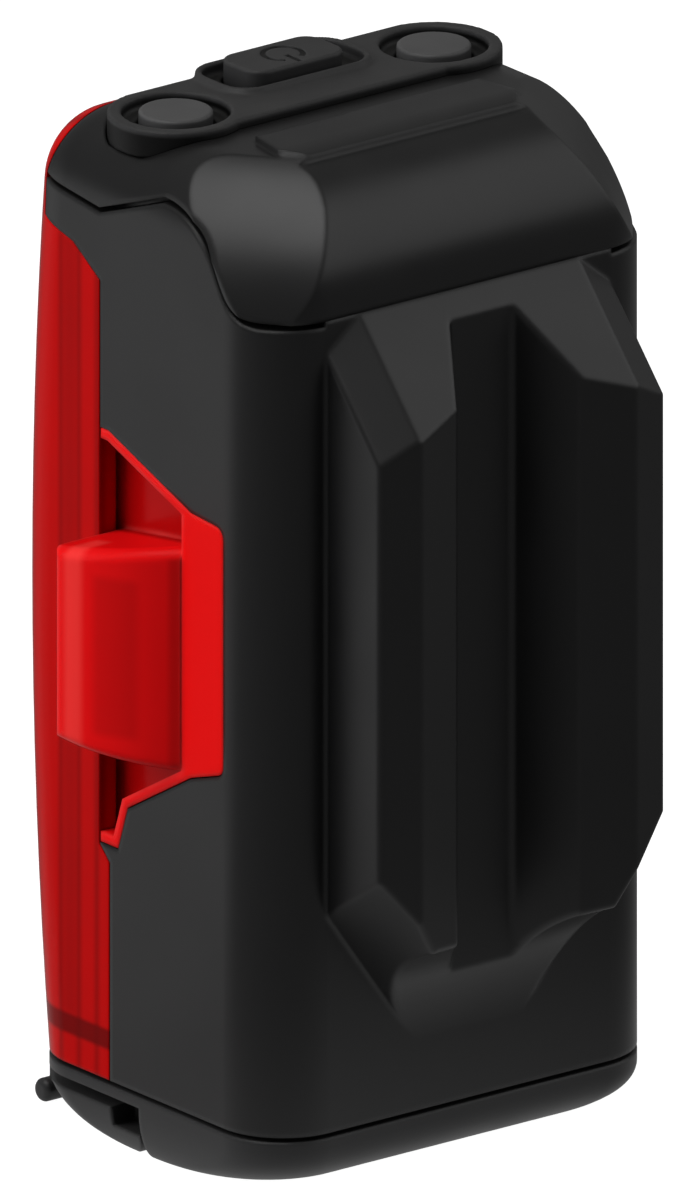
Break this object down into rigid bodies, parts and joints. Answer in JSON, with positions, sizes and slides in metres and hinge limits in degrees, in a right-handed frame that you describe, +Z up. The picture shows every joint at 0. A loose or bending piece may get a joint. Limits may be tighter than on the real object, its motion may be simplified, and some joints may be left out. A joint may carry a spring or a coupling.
{
  "type": "bicycle rear light",
  "caption": "Upright bicycle rear light with a wrap-round red lens, projecting red side lenses, a soft keypad on top, a grooved strap boss behind and a hinged charging port cover below.",
  "frame": {"origin": "centre of the bounding box in plan, at the underside of the base", "axes": "+Z up along the tall side, -Y out of the front lens, +Y out of the strap boss, X across the width"},
  "size_m": [0.0474, 0.0402, 0.0826],
  "materials": {
    "case_black": "satin moulded black",
    "lens_red": "polished clear red with upright flutes",
    "side_lens_red": "polished milky red",
    "seal_rubber": "soft black",
    "cover_black": "satin moulded black",
    "screw_steel": "plain turned steel",
    "keypad_rubber": "soft matte black",
    "key_rubber": "soft matte dark grey",
    "board_green": "varnished green",
    "switch_metal": "plated",
    "tray_plastic": "moulded off white",
    "cell_wrap": "shrunk foil",
    "pad_foam": "foam",
    "tab_nickel": "nickel strip",
    "chip_black": "moulded",
    "spacer_plastic": "moulded",
    "lamp_board_white": "white varnish",
    "lamp_resin": "clear resin over yellow",
    "reflector_silver": "metallised plastic",
    "diffuser_clear": "milky clear",
    "socket_steel": "stamped steel"
  },
  "bodies": {
    "housing": {"rear_housing": "case_black", "top_cap": "case_black", "base_cap": "case_black", "front_lens": "lens_red", "side_lens_right": "side_lens_red", "side_lens_left": "side_lens_red", "base_seal": "seal_rubber", "base_screws": "screw_steel", "cover_pin": "screw_steel", "keypad": "keypad_rubber", "key_board": "board_green", "key_switches": "switch_metal", "key_board_screws": "screw_steel", "battery_tray": "tray_plastic", "battery_cell": "cell_wrap", "battery_pad": "pad_foam", "cell_tabs": "tab_nickel", "main_board": "board_green", "board_chips": "chip_black", "board_spacers": "spacer_plastic", "lamp_board": "lamp_board_white", "board_screws": "screw_steel", "front_lamps": "lamp_resin", "reflector": "reflector_silver", "diffuser": "diffuser_clear", "side_board_right": "board_green", "side_board_left": "board_green", "side_lamps_right": "lamp_resin", "side_lamps_left": "lamp_resin", "charge_board": "board_green", "charge_socket": "socket_steel"},
    "power_key": {"power_key": "key_rubber"},
    "right_key": {"right_key": "key_rubber"},
    "left_key": {"left_key": "key_rubber"},
    "port_cover": {"port_cover": "cover_black"}
  },
  "joints": [
    {"name": "power_key_press", "type": "slide", "parent": "housing", "child": "power_key", "axis": [0, 0, -1], "range_m": [0, 0.0005], "stiffness_N_per_m": 400},
    {"name": "right_key_press", "type": "slide", "parent": "housing", "child": "right_key", "axis": [0, 0, -1], "range_m": [0, 0.0005], "stiffness_N_per_m": 400},
    {"name": "left_key_press", "type": "slide", "parent": "housing", "child": "left_key", "axis": [0, 0, -1], "range_m": [0, 0.0005], "stiffness_N_per_m": 400},
    {"name": "port_cover_hinge", "type": "hinge", "parent": "housing", "child": "port_cover", "pos_m": [0, -0.00553, 0.0019], "axis": [1, 0, 0], "range_deg": [0, 95]}
  ]
}
